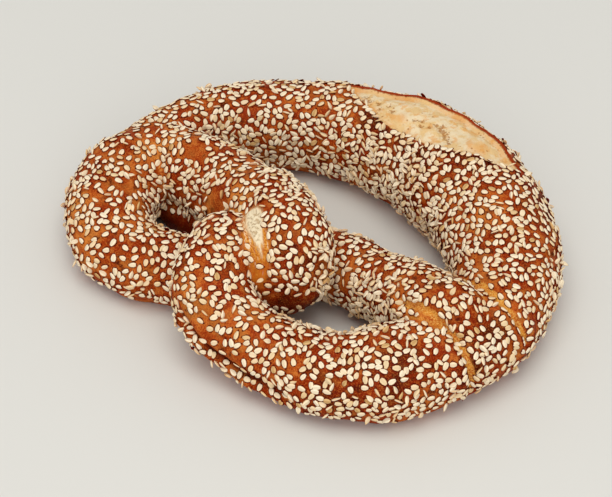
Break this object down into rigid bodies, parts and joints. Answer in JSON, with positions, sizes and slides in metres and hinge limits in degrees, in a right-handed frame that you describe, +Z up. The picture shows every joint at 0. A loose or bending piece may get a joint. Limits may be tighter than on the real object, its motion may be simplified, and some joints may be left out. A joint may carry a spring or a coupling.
{
  "type": "sesame soft pretzel",
  "caption": "Baked soft pretzel of one twisted dough rope with a split thick belly, two looped arms and a sesame seed coat.",
  "frame": {"origin": "middle of the underside: centre of the bounding box in plan, on the surface the pretzel rests on", "axes": "+Z up, +Y from the notch between the two loops to the thick belly, +X across the pretzel towards the side where the belly is thickest"},
  "size_m": [0.1762, 0.1422, 0.0435],
  "materials": {
    "crust": "satin baked brown crust",
    "sesame": "satin pale hulled sesame seed"
  },
  "bodies": {
    "root": {"pretzel": "crust"}
  },
  "joints": []
}
